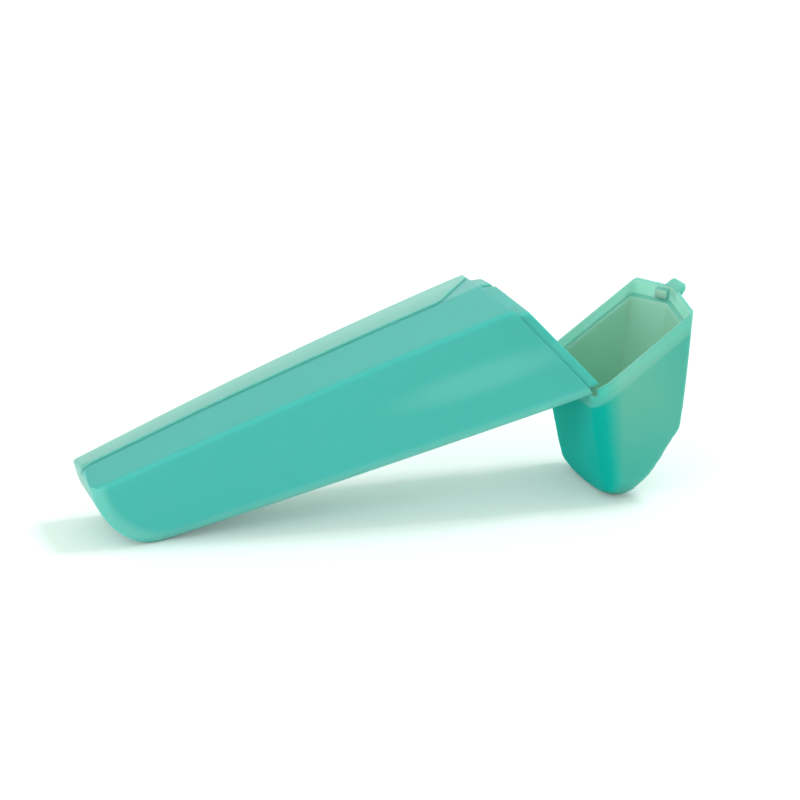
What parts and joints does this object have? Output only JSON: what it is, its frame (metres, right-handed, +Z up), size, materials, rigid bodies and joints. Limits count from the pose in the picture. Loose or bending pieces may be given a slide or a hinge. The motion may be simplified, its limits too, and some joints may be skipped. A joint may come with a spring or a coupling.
{
  "type": "toothbrush holder",
  "caption": "Tapered translucent travel case for a toothbrush and paste; its hinged end cap swings open and props it up as an A-frame stand.",
  "frame": {"origin": "on the floor, in the mirror plane, midway between the small end and the front of the cap", "axes": "+X from the small end towards the cap, +Z up in the standing A-frame pose, +Y towards the back cover"},
  "size_m": [0.2098, 0.0524, 0.0733],
  "materials": {
    "case_plastic": "glossy translucent teal",
    "cover_plastic": "glossy translucent pale teal",
    "cap_plastic": "glossy translucent teal green",
    "pin_steel": "satin"
  },
  "bodies": {
    "case": {"body_shell": "case_plastic", "back_cover": "cover_plastic", "hinge_pin": "pin_steel"},
    "cap": {"end_cap": "cap_plastic"}
  },
  "joints": [
    {"name": "cap_hinge", "type": "hinge", "parent": "case", "child": "cap", "pos_m": [0.06482, 0, 0.03987], "axis": [0, -1, 0], "range_deg": [0, 97.3]}
  ]
}
